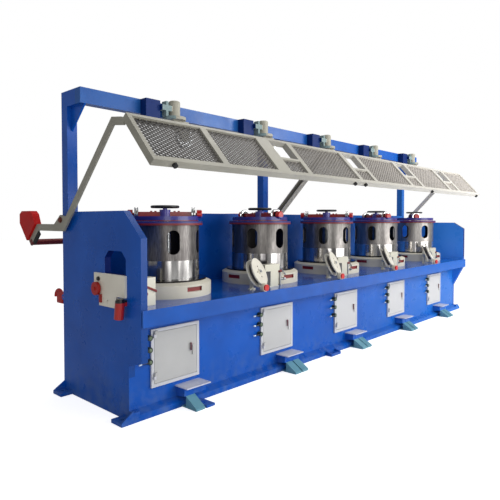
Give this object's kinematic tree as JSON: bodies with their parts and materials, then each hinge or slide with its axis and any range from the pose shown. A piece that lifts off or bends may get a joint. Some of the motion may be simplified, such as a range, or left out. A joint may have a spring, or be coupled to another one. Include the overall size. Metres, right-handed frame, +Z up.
{
  "type": "wire drawing machine",
  "caption": "Straight wire drawing line: blue cabinet with slotted steel drums in a row, mesh swing guard on counterweighted arms and an overhead beam with guide sheaves.",
  "frame": {"origin": "on the floor, midway between the four corner anchor holes", "axes": "+X along the machine in the wire direction, -Y towards the operator, +Z up"},
  "size_m": [6.11, 1.958, 2.423],
  "materials": {
    "machine_blue": "semi gloss enamel",
    "cream_paint": "semi gloss enamel",
    "guard_cream": "semi gloss enamel",
    "red_paint": "gloss enamel",
    "dark_red_paint": "gloss enamel",
    "teal_paint": "satin enamel",
    "drum_steel": "turned and polished",
    "bright_steel": "machined",
    "dark_valve": "painted casting",
    "black_rubber": "moulded"
  },
  "bodies": {
    "machine": {"back_wall": "machine_blue", "base_frame": "machine_blue", "block_housings": "cream_paint", "coolant_taps": "bright_steel", "coolant_valves": "dark_valve", "die_boxes": "cream_paint", "die_clamps": "dark_red_paint", "disc_brackets": "cream_paint", "door_frames": "cream_paint", "drum_spindles": "bright_steel", "entry_die_box": "cream_paint", "entry_knob": "red_paint", "first_die_box": "cream_paint", "flat_pedal": "machine_blue", "foot_pedals": "teal_paint", "front_panel": "machine_blue", "guard_bearings": "bright_steel", "left_end_plate": "machine_blue", "lever_bracket": "machine_blue", "overhead_beam": "machine_blue", "pedal_boxes": "machine_blue", "pedal_hoods": "cream_paint", "portal_arms": "machine_blue", "rear_posts": "machine_blue", "right_end_plate": "machine_blue", "sheave_brackets": "machine_blue", "table_buttons": "red_paint", "table_top": "machine_blue"},
    "guard": {"guard_frame": "guard_cream", "guard_mesh": "guard_cream", "guard_arms": "guard_cream", "guard_weights": "red_paint", "guard_tie_bar": "red_paint", "guard_bumpers": "black_rubber"},
    "entry_wheel": {"entry_wheel": "red_paint"},
    "rear_lever": {"rear_lever": "red_paint"},
    "door_1": {"door_1": "cream_paint"},
    "drum_1": {"drum_1": "drum_steel"},
    "flyer_1": {"flyer_1": "red_paint"},
    "sheave_1": {"sheave_1": "dark_red_paint"},
    "door_2": {"door_2": "cream_paint"},
    "drum_2": {"drum_2": "drum_steel"},
    "flyer_2": {"flyer_2": "red_paint"},
    "sheave_2": {"sheave_2": "dark_red_paint"},
    "guide_disc_2": {"guide_disc_2": "cream_paint"},
    "door_3": {"door_3": "cream_paint"},
    "drum_3": {"drum_3": "drum_steel"},
    "flyer_3": {"flyer_3": "red_paint"},
    "sheave_3": {"sheave_3": "dark_red_paint"},
    "guide_disc_3": {"guide_disc_3": "cream_paint"},
    "door_4": {"door_4": "cream_paint"},
    "drum_4": {"drum_4": "drum_steel"},
    "flyer_4": {"flyer_4": "red_paint"},
    "sheave_4": {"sheave_4": "dark_red_paint"},
    "guide_disc_4": {"guide_disc_4": "cream_paint"},
    "door_5": {"door_5": "cream_paint"},
    "drum_5": {"drum_5": "drum_steel"},
    "flyer_5": {"flyer_5": "red_paint"},
    "sheave_5": {"sheave_5": "dark_red_paint"},
    "guide_disc_5": {"guide_disc_5": "cream_paint"}
  },
  "joints": [
    {"name": "guard_swing", "type": "hinge", "parent": "machine", "child": "guard", "pos_m": [0, 0.445, 1.388], "axis": [1, 0, 0], "range_deg": [0, 39]},
    {"name": "door_1_hinge", "type": "hinge", "parent": "machine", "child": "door_1", "pos_m": [-2.756, -0.46, 0.399], "axis": [0, 0, -1], "range_deg": [0, 100]},
    {"name": "drum_1_turn", "type": "hinge", "parent": "machine", "child": "drum_1", "pos_m": [-2.34, -0.04, 0.785], "axis": [0, 0, 1], "continuous": true},
    {"name": "flyer_1_turn", "type": "hinge", "parent": "machine", "child": "flyer_1", "pos_m": [-2.34, -0.04, 1.385], "axis": [0, 0, 1], "continuous": true},
    {"name": "sheave_1_turn", "type": "hinge", "parent": "machine", "child": "sheave_1", "pos_m": [-2.006, 0.112, 2.118], "axis": [0, 1, 0], "continuous": true},
    {"name": "door_2_hinge", "type": "hinge", "parent": "machine", "child": "door_2", "pos_m": [-1.576, -0.46, 0.399], "axis": [0, 0, -1], "range_deg": [0, 100]},
    {"name": "drum_2_turn", "type": "hinge", "parent": "machine", "child": "drum_2", "pos_m": [-1.16, -0.04, 0.785], "axis": [0, 0, 1], "continuous": true},
    {"name": "flyer_2_turn", "type": "hinge", "parent": "machine", "child": "flyer_2", "pos_m": [-1.16, -0.04, 1.385], "axis": [0, 0, 1], "continuous": true},
    {"name": "sheave_2_turn", "type": "hinge", "parent": "machine", "child": "sheave_2", "pos_m": [-0.826, 0.112, 2.118], "axis": [0, 1, 0], "continuous": true},
    {"name": "door_3_hinge", "type": "hinge", "parent": "machine", "child": "door_3", "pos_m": [-0.396, -0.46, 0.399], "axis": [0, 0, -1], "range_deg": [0, 100]},
    {"name": "drum_3_turn", "type": "hinge", "parent": "machine", "child": "drum_3", "pos_m": [0.02, -0.04, 0.785], "axis": [0, 0, 1], "continuous": true},
    {"name": "flyer_3_turn", "type": "hinge", "parent": "machine", "child": "flyer_3", "pos_m": [0.02, -0.04, 1.385], "axis": [0, 0, 1], "continuous": true},
    {"name": "sheave_3_turn", "type": "hinge", "parent": "machine", "child": "sheave_3", "pos_m": [0.354, 0.112, 2.118], "axis": [0, 1, 0], "continuous": true},
    {"name": "door_4_hinge", "type": "hinge", "parent": "machine", "child": "door_4", "pos_m": [0.784, -0.46, 0.399], "axis": [0, 0, -1], "range_deg": [0, 100]},
    {"name": "drum_4_turn", "type": "hinge", "parent": "machine", "child": "drum_4", "pos_m": [1.2, -0.04, 0.785], "axis": [0, 0, 1], "continuous": true},
    {"name": "flyer_4_turn", "type": "hinge", "parent": "machine", "child": "flyer_4", "pos_m": [1.2, -0.04, 1.385], "axis": [0, 0, 1], "continuous": true},
    {"name": "sheave_4_turn", "type": "hinge", "parent": "machine", "child": "sheave_4", "pos_m": [1.534, 0.112, 2.118], "axis": [0, 1, 0], "continuous": true},
    {"name": "door_5_hinge", "type": "hinge", "parent": "machine", "child": "door_5", "pos_m": [1.964, -0.46, 0.399], "axis": [0, 0, -1], "range_deg": [0, 100]},
    {"name": "drum_5_turn", "type": "hinge", "parent": "machine", "child": "drum_5", "pos_m": [2.38, -0.04, 0.785], "axis": [0, 0, 1], "continuous": true},
    {"name": "flyer_5_turn", "type": "hinge", "parent": "machine", "child": "flyer_5", "pos_m": [2.38, -0.04, 1.385], "axis": [0, 0, 1], "continuous": true},
    {"name": "sheave_5_turn", "type": "hinge", "parent": "machine", "child": "sheave_5", "pos_m": [2.714, 0.112, 2.118], "axis": [0, 1, 0], "continuous": true},
    {"name": "guide_disc_2_turn", "type": "hinge", "parent": "machine", "child": "guide_disc_2", "pos_m": [-1.691, -0.51, 0.945], "axis": [0.2951, -0.8569, 0.4226], "continuous": true},
    {"name": "guide_disc_3_turn", "type": "hinge", "parent": "machine", "child": "guide_disc_3", "pos_m": [-0.511, -0.51, 0.945], "axis": [0.2951, -0.8569, 0.4226], "continuous": true},
    {"name": "guide_disc_4_turn", "type": "hinge", "parent": "machine", "child": "guide_disc_4", "pos_m": [0.669, -0.51, 0.945], "axis": [0.2951, -0.8569, 0.4226], "continuous": true},
    {"name": "guide_disc_5_turn", "type": "hinge", "parent": "machine", "child": "guide_disc_5", "pos_m": [1.849, -0.51, 0.945], "axis": [0.2951, -0.8569, 0.4226], "continuous": true},
    {"name": "entry_wheel_turn", "type": "hinge", "parent": "machine", "child": "entry_wheel", "pos_m": [-2.978, -0.072, 0.89], "axis": [1, 0, 0], "continuous": true},
    {"name": "rear_lever_swing", "type": "hinge", "parent": "machine", "child": "rear_lever", "pos_m": [-2.952, 0.514, 0.76], "axis": [1, 0, 0], "range_deg": [-35, 35]}
  ]
}
